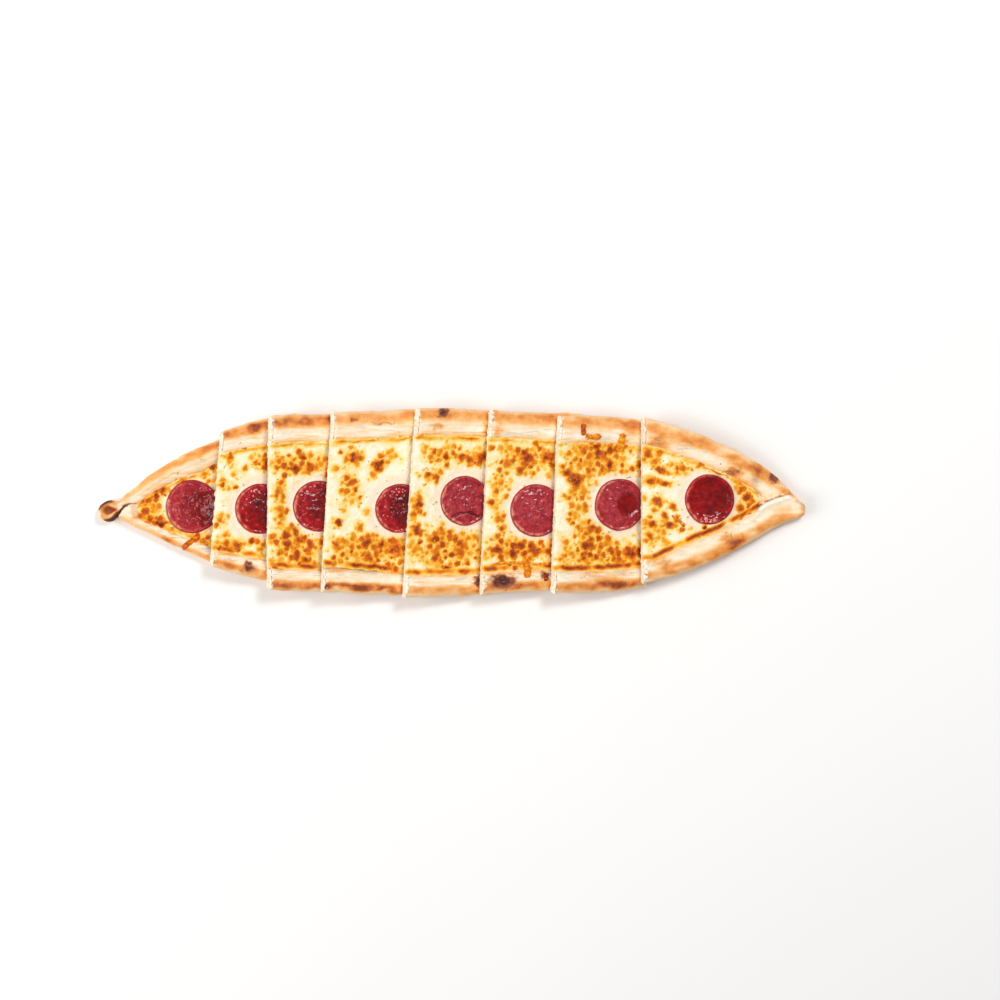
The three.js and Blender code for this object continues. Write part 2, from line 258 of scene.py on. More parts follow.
def knob_half_width(depth, radius):
    return np.sqrt(np.maximum(0, radius**2 - (depth - radius) ** 2))


def taper(share):
    return np.sin(pi / 2 * np.clip(share, 0, 1)) ** TAPER_POWER


def half_width(s):
    boat = LOAF_WIDTH / 2 * lerp(SHOULDER_SHARE, 1, hump(s, BULGE_AT, BULGE_REACH))
    boat = boat * taper((s - NECK) / LEFT_TAPER) * taper((LOAF_LENGTH - s) / RIGHT_TAPER)
    left = knob_half_width(s, LEFT_KNOB_RADIUS)
    right = knob_half_width(LOAF_LENGTH - s, RIGHT_KNOB_RADIUS)
    return np.maximum(boat, np.maximum(left, right))


def middle_line(s):
    (left, left_reach), (right, right_reach) = LEFT_DROOP, RIGHT_DROOP
    return -left * hump(s, 0, left_reach) - right * hump(s, LOAF_LENGTH, right_reach)


def upper_rim(s):
    flap = LEFT_FLAP * smoothstep(s, 16, 30) * smoothstep(s, 84, 66) + RIGHT_FLAP * smoothstep(s, 440, 470)
    return lerp(*UPPER_RIM_WIDTH, smoothstep(s, *UPPER_RIM_GROWS)) + flap


def lower_rim(s):
    flap = LOWER_RIGHT_FLAP * smoothstep(s, 440, 475)
    return lerp(*LOWER_RIM_WIDTH, smoothstep(s, *LOWER_RIM_GROWS)) + flap


def tray_width(s):
    return 2 * half_width(s) - upper_rim(s) - lower_rim(s)


class Slice:
    """One slice: its stretch of the loaf, its cuts, and its place in the row."""

    def __init__(self, number, start, before_lean):
        spec = SLICES[number - 1]
        self.number = number
        self.start = start
        self.length = spec["length"]
        self.end = start + self.length
        self.slopes = (tan(radians(before_lean)), tan(radians(spec["lean"])))
        self.left_tip = number == 1
        self.right_tip = number == len(SLICES)
        self.sucuk = np.array((self.end - spec["back"], spec["side"]))
        self.radius = spec["radius"]
        self.noise = Noise(number)
        self.place = self.find_place()

    def find_place(self):
        """The matrix from loaf millimetres to the row, found from where the CAD round of sucuk lies."""
        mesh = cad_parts[f"sucuk_{self.number}"].data
        points = np.unique([tuple(round(c, 7) for c in v.co) for v in mesh.vertices], axis=0)
        middle = points.mean(0)
        up = np.linalg.svd(points - middle)[2][2]
        up = up * np.sign(up[2])
        foot = middle + up * ((points - middle) @ up).min()
        turn = Vector((0, 0, 1)).rotation_difference(Vector(up)).to_matrix().to_4x4()
        own = Matrix.Translation((-self.sucuk[0], -self.sucuk[1], -SUCUK_BASE))
        return np.array(Matrix.Translation(foot) @ turn @ Matrix.Scale(MM, 4) @ own)

    def set_back(self, s, y, z):
        """s where a point really lies: cuts lean in plan, and their tops are set back from their feet."""
        share = (s - self.start) / self.length
        fall = (0 if self.left_tip else CUT_SETBACK) * (1 - share)
        fall = fall - (0 if self.right_tip else CUT_SETBACK) * share
        return s + y * lerp(*self.slopes, share) + fall * z / LOWER_RIM_HEIGHT

    def in_row(self, points):
        return points @ self.place[:3, :3].T + self.place[:3, 3]

    def lay(self, s, y, z):
        """Where loose things on the slice lie in the row."""
        return self.in_row(np.stack([self.set_back(s, y, z), y, z], 1))

    def stations(self, step, low, high):
        """Stations along the slice, crowded towards a tip."""
        share = np.linspace(0, 1, round((high - low) / step) + 1)
        if self.left_tip:
            share = share**TIP_CROWDING
        if self.right_tip:
            share = 1 - (1 - share) ** TIP_CROWDING
        return lerp(low, high, share)

    def to_cut(self, s):
        """Distance to the nearer cut."""
        left = np.inf if self.left_tip else 0
        right = np.inf if self.right_tip else 0
        return np.minimum(s - self.start + left, self.end - s + right)

    def from_sucuk(self, s, y):
        """Distance to the edge of the round of sucuk, below 0 inside it."""
        return np.hypot(s - self.sucuk[0], y - self.sucuk[1]) - self.radius


def make_slices():
    slices = []
    start, lean = 0, 0
    for number, spec in enumerate(SLICES, 1):
        slices.append(Slice(number, start, lean))
        start += spec["length"]
        lean = spec["lean"]
    return slices


def marks(piece, s, y, patches):
    """For each of a slice's listed patches, its strength and how much of it reaches each point."""
    for along, across, half_length, half_breadth, strength in patches:
        reach = ((s - piece.start - along) / half_length) ** 2 + ((y - across) / half_breadth) ** 2
        yield strength, np.exp(-0.9 * reach**1.3)


# --- Meshes ---


def quads(index):
    """Faces over a grid of vertex numbers. Where grid points coincide, a face has fewer corners."""
    corners = np.stack([index[:-1, :-1], index[1:, :-1], index[1:, 1:], index[:-1, 1:]], -1).reshape(-1, 4)
    return [tuple(dict.fromkeys(face)) for face in corners.tolist()]


def closed(index):
    """A grid of vertex numbers whose last column runs on to its first."""
    return np.hstack([index, index[:, :1]])


def tube(rings):
    """Faces of a tube over rings of vertex numbers, with its two ends capped."""
    return quads(closed(rings)) + [tuple(rings[0].tolist()), tuple(rings[-1, ::-1].tolist())]


def add_piece(name, vertices, faces, material, slot, replaces=None, **values):
    """A smooth mesh that rides with the part. values are its float attributes, one number for each vertex."""
    mesh = bpy.data.meshes.new(name)
    mesh.from_pydata(np.asarray(vertices).tolist(), [], [f for f in faces if len(f) > 2])
    mesh.shade_smooth()
    mesh.materials.append(material)
    for key, numbers in values.items():
        mesh.attributes.new(key, "FLOAT", "POINT").data.foreach_set("value", np.asarray(numbers, np.float32))
    piece = bpy.data.objects.new(name, mesh)
    bpy.context.scene.collection.objects.link(piece)
    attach(piece, "root")
    if replaces:
        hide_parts(replaces)


def add_part(piece, kind, vertices, faces, material, **values):
    """A slice's bread, cheese or sucuk, in place of the CAD node of that kind."""
    name = f"slice_{piece.number}_{kind}"
    add_piece(name, piece.in_row(vertices), faces, material, kind, f"{kind}_{piece.number}", **values)


def vertex_normals(vertices, faces):
    """Area-weighted normals, from faces of three or four corners."""
    normals = np.zeros_like(vertices)
    padded = np.array([face + face[-1:] * (4 - len(face)) for face in faces if 2 < len(face) < 5])
    a, b, c, d = (vertices[padded[:, i]] for i in range(4))
    across = np.cross(c - a, d - b)
    for i in range(4):
        np.add.at(normals, padded[:, i], across)
    return normals / np.maximum(np.linalg.norm(normals, axis=1, keepdims=True), 1e-9)


# --- Bread ---


def rim_rows(width, height, opened):
    """Depth from the outer side and height of each station's rim, from the outer side to the tray."""
    width, opened = width[:, None], opened[:, None]
    outer = np.minimum(OUTER_ROUND, 0.5 * width)
    inner = np.minimum(INNER_ROUND, 0.3 * width)
    turn = np.radians(np.linspace(0, 90, SHOULDER_COLUMNS))
    shoulder = (outer * (1 - np.cos(turn)), SIDE_HEIGHT + (height - SIDE_HEIGHT) * np.sin(turn))
    share = np.linspace(0, 1, CREST_COLUMNS)[1:-1]
    crown = (0.5 * np.sin(pi * share) - 0.5 * hump(share, 0.62, 0.12)) * smoothstep(width, 10, 15)
    crest = (lerp(outer, width - inner, share), height - RIM_FALL * share + crown)
    turn = np.radians(np.linspace(0, 90, WALL_COLUMNS))
    foot = height - RIM_FALL
    wall = (width - inner * (1 - np.sin(turn)), foot - (foot - FLOOR) * opened * (1 - np.cos(turn)))
    stretches = [np.broadcast_arrays(*stretch) for stretch in (shoulder, crest, wall)]
    return [np.concatenate(columns, 1) for columns in zip(*stretches)]


def bread_rows(s):
    """The bread's columns at each station: y, top, underside, depth from the outer side, and which rim."""
    half, middle = half_width(s)[:, None], middle_line(s)[:, None]
    squeeze = np.minimum(1, 2 * half / (upper_rim(s) + lower_rim(s))[:, None])
    opened = smoothstep(tray_width(s), 4, 8)
    upper_depth, upper_top = rim_rows(upper_rim(s), UPPER_RIM_HEIGHT, opened)
    lower_depth, lower_top = (a[:, ::-1] for a in rim_rows(lower_rim(s), LOWER_RIM_HEIGHT, opened))
    high, low = half - upper_depth * squeeze, lower_depth * squeeze - half
    share = np.linspace(0, 1, TRAY_COLUMNS)[1:-1]
    tray = lerp(high[:, -1:], low[:, :1], share)
    tray_top = lerp(upper_top[:, -1:], lower_top[:, :1], share)
    y = np.concatenate([high, tray, low], 1)
    top = np.concatenate([upper_top, tray_top, lower_top], 1)
    depth = np.concatenate([upper_depth, spread(FAR, tray), lower_depth], 1)
    side = np.concatenate([spread(1, high), spread(0, tray), spread(-1, low)], 1)
    heel = np.minimum(HEEL, 0.45 * half)
    inwards = np.clip((half - np.abs(y)) / heel, 0, 1)
    under = SIDE_HEIGHT * (1 - quarter_round(inwards))
    tip = np.minimum(s, LOAF_LENGTH - s)
    rounded = quarter_round(np.minimum(1, tip / NOSE))[:, None]
    top, under = (SIDE_HEIGHT + (z - SIDE_HEIGHT) * rounded for z in (top, under))
    return y + middle, top, under, depth, side


def bread_grid(piece):
    """Vertices as (s, y, z), faces, and flags for each vertex: depth, which rim, if cut, if underside."""
    low = TIP_DEPTH if piece.left_tip else piece.start
    high = LOAF_LENGTH - TIP_DEPTH if piece.right_tip else piece.end
    s = piece.stations(BREAD_STEP, low, high)
    y, top, under, depth, side = bread_rows(s)
    rows, columns = y.shape
    number = np.arange(rows * columns).reshape(rows, columns)
    below = number + rows * columns
    below[:, 0], below[:, -1] = number[:, 0], number[:, -1]
    faces = quads(number[::-1]) + quads(below)
    sheets = [(s[:, None], y, top, depth, side, 0, 0), (s[:, None], y, under, depth, side, 0, 1)]
    count = 2 * rows * columns
    for row, flip in ((0, False), (rows - 1, True)):
        inner = count + np.arange((CUT_LAYERS - 1) * columns).reshape(CUT_LAYERS - 1, columns)
        inner[:, 0], inner[:, -1] = number[row, 0], number[row, -1]
        count += inner.size
        cut = np.vstack([below[row], inner, number[row]])
        faces += quads(cut[::-1] if flip else cut)
        z = lerp(under[row], top[row], np.linspace(0, 1, CUT_LAYERS + 1)[1:-1, None])
        sheets.append((s[row], y[row], z, depth[row], side[row], 1, 0))
    values = [np.concatenate([spread(v[i], v[2]).reshape(-1) for v in sheets]) for i in range(len(sheets[0]))]
    return np.stack(values[:3], 1), faces, values[3:]


def compact(vertices, faces, values):
    """Drops the vertices that no face uses."""
    faces = [face for face in faces if len(face) > 2]
    used = np.unique(np.concatenate([np.array(face) for face in faces]))
    renumber = np.zeros(len(vertices), int)
    renumber[used] = np.arange(len(used))
    faces = [tuple(renumber[list(face)].tolist()) for face in faces]
    return vertices[used], faces, [value[used] for value in values]


def rim_bake(piece, s, y, depth, side):
    """How brown the bread's top is, 0 for floury dough to 1 for dark crust, and how strong the painted shade
    in its streaks is.
    """
    at = on_plane(s, y)
    upper = side > 0
    width = np.where(upper, upper_rim(s), lower_rim(s))
    broad = piece.noise(at, (13, 6, 9), 2)
    fine = piece.noise(at + 31, (4, 2.6, 4), 2)
    streaks = piece.noise(at + 50, (17, 1.1, 9), 2)
    share = depth / width + 0.07 * broad
    centre = np.where(upper, 0.36 if piece.right_tip else 0.24, 0.3)
    patchy = 1.2 if piece.right_tip else np.where(upper, 0.5, 0.9)
    streaky = 0.5 if piece.right_tip else 1
    apart = smoothstep(tray_width(s), 0, 12)  # 0 where the two rims meet at a tip
    lower_tips = smoothstep(s, 16, 60) * smoothstep(LOAF_LENGTH - s, 6, 26)
    strength = np.where(upper, *CRUST[piece.number - 1])
    strength = strength * lerp(0.35, 1, np.where(upper, smoothstep(s, 10, 75), lower_tips))
    waver = share + 0.04 * piece.noise(at + 8, (8, 40, 9), 2)
    band = smoothstep(waver, centre - 0.26, centre - 0.08) * smoothstep(waver, centre + 0.27, centre + 0.02)
    bake = 0.27 + strength * band * (1 + patchy * broad + 0.25 * fine) + 0.04 * fine
    pale = smoothstep(share, 0.42, 0.6)
    blush = hump(share, 0.9, 0.1)
    bake = bake + pale * (apart * (0.14 * blush - 0.24 * streaky * streaks) - 0.16)
    line = hump(depth - width, -1.4, 1.2) * apart * (0.7 + 0.9 * piece.noise(at + 90, (11, 9, 9)))
    bake = bake + np.where(upper, 0.09, 0.1) * line
    # Painted shade: greyish streaks along the pale band, as if the folds of the dough shaded it.
    streak_shade_patches = smoothstep(piece.noise(at + 12, (9, 5, 9)), -0.2, 0.3)
    streak_shade_and_tint = pale * apart * smoothstep(streaks, 0.1, 0.5) * streak_shade_patches
    if piece.left_tip:
        flap = pale * upper * smoothstep(s, 22, 34)
        bake = bake + 0.1 * flap
        # On the first slice the flap also takes a greyish green tint of its own, streaked the same way.
        streak_shade_and_tint = streak_shade_and_tint + 0.3 * flap * (1 + streaks)
    return bake, streak_shade_and_tint


# Where the crease of each tip's fold runs: distances from the tip, and for each its place across the loaf.
LEFT_FOLD = ((11, 12, 14.5, 17, 20.5, 25), (-8.6, -7.1, -1.9, 1.1, 2.4, 1.7))
RIGHT_FOLD = ((3, 11, 20, 27.5, 34.6, 44), (0.3, 3.9, 1.3, -1.7, -7.8, -10.9))


def left_tip_relief(s, y, fleck):
    """Height, darkening and browning of the curled knob, its hollow, and the crease that runs out of it:
    charring on the knob's ring, and painted shade in the hollow's dark core and along the crease.
    """
    across = y - middle_line(s)
    along = s - LEFT_KNOB_RADIUS
    around = np.hypot(along, across)
    mouth = lerp(3.3, 1.5, smoothstep(along, -1, 5))
    hollow = hump(((along - 0.9) / 4.7) ** 2 + ((across - 0.3) / mouth) ** 2)
    curl = 0.5 + 0.5 * np.cos(2 * (np.arctan2(across, along) - radians(117)))
    lip = smoothstep(s, 18, 13)
    fold = np.interp(s, *LEFT_FOLD)
    reach = lerp(0.45, 1.7, smoothstep(s, 24, 12))
    crease = hump(across, fold, reach) * smoothstep(s, 9.5, 11.5) * smoothstep(s, 27, 24)
    height = -3.8 * hollow + 0.8 * hump(around, 5.4, 1.1) * lip
    height = height - 1.9 * crease + 0.5 * hump(across - fold, -3, 2) * smoothstep(s, 27, 20)
    # Painted shade: the hollow's core is darkened, most on its left.
    dark = 0.12 * hollow + 0.3 * hollow * smoothstep(along, 1.5, -2)
    dark = dark + 0.9 * curl * hump(around, 6.2, 1.3) * lip
    # Painted shade: the crease's dark line, where the flap folds over.
    dark = dark + lerp(0.4, 0.75, smoothstep(s, 21, 13)) * crease * (1 + 0.3 * fleck)
    brown = 0.95 * hollow + 0.25 * hump(around, 4.8, 0.9) * lip
    return height, dark, brown


def right_tip_relief(s, y, fleck):
    """Height, darkening and browning of the lower rim's fold over the blunt tip; the dark line in the crease
    and the brown band past it are painted shade.
    """
    tip = LOAF_LENGTH - s
    fold = np.interp(tip, *RIGHT_FOLD) + 0.4 * fleck
    here = smoothstep(tip, 37, 30) * smoothstep(tip, 1.5, 5)
    lip = hump(fold - y, 1.8, 2.2)
    crease = hump(y - fold, 0.4, 0.8)
    height = here * (1.7 * lip - 2.6 * smoothstep(y - fold, -0.5, 1.2) - 0.5 * crease)
    # Painted shade: a dark line in the fold's crease, and a brown band on the tucked side past it; the lip
    # itself is paler dough.
    dark = 0.27 * here * crease * (1 + 0.7 * fleck)
    brown = 0.2 * here * hump(y - fold, 2, 2) * (1 + fleck) - 0.16 * here * lip
    return height, dark, brown


def tip_relief(piece, s, y):
    """Height, darkening and browning that a tip adds, the darkening partly painted shade in its folds."""
    fleck = piece.noise(on_plane(s, y) + 15, 2.4, 2)
    if piece.left_tip:
        return left_tip_relief(s, y, fleck)
    if piece.right_tip:
        return right_tip_relief(s, y, fleck)
    return np.zeros((3, len(s)))


def bread_shape(piece, points, faces, flags, relief):
    """Where the bread's points lie once its rims are uneven and its cuts torn, and how open its pores are,
    which the crumb's colour darkens as painted shade.
    """
    depth, side, cut, under = flags
    s, y, z = points.T
    noise = piece.noise
    top = (1 - cut) * (1 - under)
    to_cut = piece.to_cut(s)
    relief = relief * top * smoothstep(z, SIDE_HEIGHT, 7)
    relief = relief - 0.4 * np.exp(-to_cut / 0.8) * smoothstep(z, 5, 8) * (1 - under)
    placed = np.stack([piece.set_back(s, y, z), y, z + relief], 1)
    normal = vertex_normals(placed, faces)
    rim = np.abs(side) * top
    swell = rim * (0.35 * noise(placed, (16, 9, 9), 2) + 0.2 * noise(placed + 70, (14, 1.7, 3), 2))
    swell = swell + 0.1 * noise(placed + 20, 2.2, 2) * (1 - cut) * (1 - 0.7 * under)
    holes = pores(placed, 2.6, piece.number) + 0.6 * pores(placed + 9, 1.3, piece.number + 20)
    ragged = 0.7 * noise(placed + 40, (3, 2.8, 2.4), 3) - 0.7 * holes
    near_cut = np.clip(cut + 0.5 * np.exp(-to_cut / 0.7) * (1 - under), 0, 1)
    swell = swell + near_cut * ragged
    outline = on_plane(np.zeros_like(s), np.sign(y - middle_line(s)))
    wander = 0.5 * noise(on_plane(s, side * 40), 13, 2) * smoothstep(6 - depth, 0, 4)
    placed = placed + normal * swell[:, None] + outline * wander[:, None]
    placed[:, 2] = np.where(under > 0, np.maximum(placed[:, 2], 0), placed[:, 2])
    return placed, holes * near_cut


def bread_looks(piece, points, placed, flags, dark, brown):
    """How baked, charred, darkened by painted shade and torn open to the crumb the bread is."""
    depth, side, cut, under = flags
    s, y, z = points.T
    noise = piece.noise
    top = (1 - cut) * (1 - under)
    bake, streak_shade_and_tint = rim_bake(piece, s, y, depth, side)
    bake = bake + brown
    # The tips' darkening, partly painted shade in their creases and the knob's hollow, joins the charring.
    char_and_shade = dark
    ragged_s = s + 2 * noise(placed + 5, 3.6, 3)
    ragged_y = y + 1.5 * noise(placed + 25, 3.2, 3)
    speckle = 1 + 0.5 * noise(placed + 35, (2.6, 1.4, 2), 2)
    for strength, mark in marks(piece, ragged_s, ragged_y, BURNS[piece.number - 1]):
        bake = bake + np.abs(strength) * mark * (0.5 if strength > 0 else 0.55)
        if strength > 0:
            char_and_shade = char_and_shade + strength * mark * speckle
    sole = 0.42 + 0.25 * noise(placed + 60, 14, 3) + 0.35 * smoothstep(noise(placed, 6, 2), 0.35, 0.8)
    wall = smoothstep(SIDE_HEIGHT - z, 0, 2.5) * (1 - cut)
    bake = lerp(bake, 0.3 + 0.15 * noise(placed, 9, 2), np.maximum(wall, under) * 0.9)
    bake = lerp(bake, sole, under)
    torn = 0.7 + 1.7 * noise(placed + 15, 3, 3) - piece.to_cut(s)
    crumb = cut * (0.2 + smoothstep(z, 0.2, 0.7)) + top * 0.9 * smoothstep(torn, -0.3, 0.7)
    return dict(bake=bake, char_and_shade=char_and_shade * top, crumb=crumb, streak_shade_and_tint=streak_shade_and_tint * top)


def make_bread(piece, material):
    points, faces, flags = compact(*bread_grid(piece))
    relief, dark, brown = tip_relief(piece, points[:, 0], points[:, 1])
    placed, hollow = bread_shape(piece, points, faces, flags, relief)
    looks = bread_looks(piece, points, placed, flags, dark, brown) | dict(hollow=hollow)
    looks = {name: np.clip(value, 0, 1) for name, value in looks.items()}
    add_part(piece, "bread", placed, faces, material, **looks)


# --- Cheese ---

CHEESE_OVERLAP = 1.6  # how far the melted cheese runs up on the rims
CHEESE_FOOT = 4.0
CHEESE_TIP_WIDTH = 7  # the cheese ends where the tray is narrower than this
CHEESE_TIP_ROUND = 6  # length over which its outline rounds off there
HEM_SHIFT = {4: 2.4}  # by slice: how far in from the lower rim the cheese starts at the left cut
BARE = 6  # width of the pale ring that fat keeps round a sucuk
BARE_AT_TIP = 1.5  # the same on the first slice
# Kinds of blister, small to large: mean spacing, least and greatest radius, least and greatest toast, and how
# browned the cheese must be.
BLISTERS = [
    (3.0, (0.65, 1.3), (0.26, 0.44), 0.4),
    (4.1, (1.3, 2.7), (0.34, 0.64), 0.4),
    (6.4, (1.9, 3.5), (0.5, 0.7), 0.92),
]
MERGING = 6  # power by which blisters that meet run together: the higher, the crisper their borders


def browning(piece, s, y):
    """How far the oven browned the cheese near a point, 0 for not at all to over 1; one strip on slice 7 is
    painted shadow.
    """
    total = (0.42 if piece.left_tip else 0.2) + 0.34 * piece.noise(on_plane(s, y) + 40, 8, 2)
    for strength, mark in marks(piece, s, y, BROWNED_AND_SHADED[piece.number - 1]):
        total = total + 0.85 * strength * mark
    bare = BARE_AT_TIP if piece.left_tip else BARE
    return total * smoothstep(piece.from_sucuk(s, y), 0.1 * bare, bare)


def blisters(piece, s, y):
    """How toasted the cheese is, 0 for ivory to 1 for dark brown: amber blisters in a yellow glow, with a few
    burnt patches."""
    at = on_plane(s, y)
    rng = np.random.default_rng(100 + piece.number)
    warped_s = s + 0.8 * piece.noise(at + 11, 2.8, 2)
    warped_y = y + 0.8 * piece.noise(at + 23, 2.8, 2)
    browned = browning(piece, warped_s, warped_y)
    field = 0.15 * smoothstep(browned, 0, 0.5) + 0.1 * smoothstep(browned, 0.4, 1.1)
    fleck = 1 + 0.3 * piece.noise(at + 33, 1.6, 2)
    for strength, mark in marks(piece, warped_s, warped_y, BROWNED_AND_SHADED[piece.number - 1]):
        if strength > SCORCHED:
            field = np.maximum(field, 0.5 * strength * mark * fleck)
    for spacing, radii, toasts, least in BLISTERS:
        for row, middle in enumerate(np.arange(-LOAF_WIDTH / 2, LOAF_WIDTH / 2, spacing * 0.87)):
            along = np.arange(piece.start, piece.end, spacing) + (row % 2) * spacing / 2
            along = along + rng.normal(0, 0.28 * spacing, len(along))
            across = middle + rng.normal(0, 0.28 * spacing, len(along))
            radius = rng.uniform(*radii, len(along))
            chance = browning(piece, along, across) * rng.uniform(0.4, 1.4, len(along))
            toast = rng.uniform(*toasts, len(along)) + 0.06 * smoothstep(chance, 0.8, 1.4)
            made = chance >= least
            for u, v, r, h in zip(along[made], across[made], radius[made], toast[made]):
                close = (np.abs(warped_s - u) < 2.2 * r) & (np.abs(warped_y - v) < 2.2 * r)
                away = np.hypot(warped_s[close] - u, warped_y[close] - v) / r
                spot = h * smoothstep(away, 1.35, 0.35) + 0.05 * hump(away, 0.8, 0.25)
                spot = np.maximum(spot, 0.25 * smoothstep(away, 2.2, 0.7))
                field[close] = (field[close] ** MERGING + spot**MERGING) ** (1 / MERGING)
    return field


def cheese_edges(piece, s):
    """Where the cheese ends on the upper and on the lower rim."""
    upper_wander, lower_wander = (0.8 * piece.noise(on_plane(s, spread(40 * i, s)), 7, 2) for i in (0, 1))
    middle, half = middle_line(s), half_width(s)
    upper = middle + half - upper_rim(s) + CHEESE_OVERLAP + upper_wander
    lower = middle - half + lower_rim(s) - CHEESE_OVERLAP - lower_wander
    return upper, lower + HEM_SHIFT.get(piece.number, 0) * smoothstep(s, piece.end, piece.start)


def cheese_surface(piece, s, y):
    """Height, toast and fattiness of the cheese's top; the toast also carries painted shade along the lower
    rim.
    """
    at = on_plane(s, y)
    upper_edge, lower_edge = cheese_edges(piece, s)
    edge = np.minimum(upper_edge - y, y - lower_edge)
    upper = y > middle_line(s)
    along_hem = piece.noise(at + 77, (9, 40, 9), 2)
    reach = (edge - CHEESE_OVERLAP - np.where(upper, 0.2, 1.2)) / np.where(upper, 1, 2.1)
    # The hem is toasted cheese along the rims. Along the lower rim it is also painted shade beside the rim's
    # step, strongest on the last two slices.
    lower_hem_and_shade = 0.32 if piece.left_tip else 0.62 if piece.number > 6 else 0.52
    hem_and_shade = hump(reach) * np.minimum(np.where(upper, 0.33, lower_hem_and_shade) * (1 + 0.7 * along_hem), 0.68)
    glow = 0.26 * hump(edge, CHEESE_OVERLAP, 3.5) * (1 + 0.6 * piece.noise(at + 88, 9))
    toast = np.maximum(blisters(piece, s, y), np.maximum(hem_and_shade, glow))
    toast = toast + 0.1 * hem_and_shade + 0.07 * piece.noise(at + 60, 3.6, 3)
    from_sucuk = piece.from_sucuk(s, y)
    relief = 0.3 * piece.noise(at, 8, 2) + 0.12 * piece.noise(at + 5, 1.9, 2)
    relief = relief + 0.45 * smoothstep(toast, 0.28, 0.6) - 0.15 * smoothstep(toast, 0.75, 1)
    relief = relief + (0.7 + 0.5 * along_hem) * smoothstep(CHEESE_OVERLAP + 2 - edge, 0, 2)
    relief = relief + 0.4 * hump(from_sucuk, 0, 1.2) - 0.5 * smoothstep(-from_sucuk, 0, 2)
    to_cut = piece.to_cut(s)
    relief = relief - 0.25 * np.exp(-to_cut / 0.7)
    toast = toast * (1 - 0.3 * smoothstep(0.5 - to_cut, 0, 0.4))
    fatty = hump(from_sucuk, 2.5, 3.2) * (from_sucuk > -2) * smoothstep(toast, 0.36, 0.12)
    return CHEESE_TOP + relief, toast, fatty


def cheese_grid(piece):
    """The cheese's top: s and y of each point, its distance from a tip, and the grid of vertex numbers."""
    low, high = piece.start, piece.end
    while tray_width(low) < CHEESE_TIP_WIDTH:
        low += 0.25
    while tray_width(high) < CHEESE_TIP_WIDTH:
        high -= 0.25
    stations = piece.stations(CHEESE_STEP, low, high)
    columns = round(tray_width(stations).max() / CHEESE_STEP) + 1
    from_tip = spread(FAR, stations)
    if piece.left_tip or piece.right_tip:
        from_tip = stations - low if piece.left_tip else high - stations
    roundness = quarter_round(np.clip(from_tip / CHEESE_TIP_ROUND, 0.03, 1))
    edges = cheese_edges(piece, stations)
    middle = sum(edges) / 2
    upper_edge, lower_edge = ((middle + (edge - middle) * roundness)[:, None] for edge in edges)
    y = lerp(upper_edge, lower_edge, np.linspace(0, 1, columns)).reshape(-1)
    number = np.arange(len(y)).reshape(-1, columns)
    return np.repeat(stations, columns), y, np.repeat(from_tip, columns), number


def make_cheese(piece, material):
    s, y, from_tip, number = cheese_grid(piece)
    z, toast, fatty = cheese_surface(piece, s, y)
    z = z - 0.9 * np.exp(-from_tip / 1.5)
    border = np.concatenate([number[0, :-1], number[:-1, -1], number[-1, :0:-1], number[:0:-1, 0]])
    share = np.linspace(0, 1, SKIRT_LAYERS + 1)[1:, None]
    skirt_z = lerp(z[border], CHEESE_FOOT, share)
    skirt = np.stack([spread(s[border], skirt_z), spread(y[border], skirt_z), skirt_z], -1).reshape(-1, 3)
    skirt_number = number.size + np.arange(len(skirt)).reshape(SKIRT_LAYERS, -1)
    faces = quads(number[::-1]) + quads(closed(np.vstack([border, skirt_number])))
    faces.append(tuple(skirt_number[-1].tolist()))
    points = np.concatenate([np.stack([s, y, z], 1), skirt])
    side = np.concatenate([np.zeros(number.size), np.ones(len(skirt))])
    toast = np.concatenate([toast, (toast[border] * lerp(0.9, 0.15, share)).reshape(-1)])
    placed = np.stack([piece.set_back(*points.T), points[:, 1], points[:, 2]], 1)
    at_cut = np.exp(-piece.to_cut(points[:, 0]) / 0.6)
    outwards = np.sign(points[:, 0] - (piece.start + piece.end) / 2)
    bulge = np.where(outwards < 0, 1.2, 0.3) + 0.8 * piece.noise(placed + 3, (4, 2.6, 3), 3)
    bulge = bulge + 0.5 * side * piece.noise(placed, (9, 5, 9))
    placed[:, 0] += at_cut * outwards * bulge * smoothstep(points[:, 2], CHEESE_FOOT, CHEESE_FOOT + 1)
    fatty = np.concatenate([fatty, np.zeros(len(skirt))])
    add_part(piece, "cheese", placed, faces, material, toast=np.clip(toast, 0, 1.2), fatty=fatty)


# --- Sucuk ---


# A round's section past the flat of its top, as shares of its radius and of its thickness.
SUCUK_EDGE = [(0.955, 0.97), (0.978, 0.9), (0.993, 0.78), (1, 0.6), (0.997, 0.42), (0.985, 0.25), (0.96, 0.1)]
SUCUK_UNDERSIDE = [(0.9, 0), (0.6, 0), (0.3, 0), (0.02, 0)]


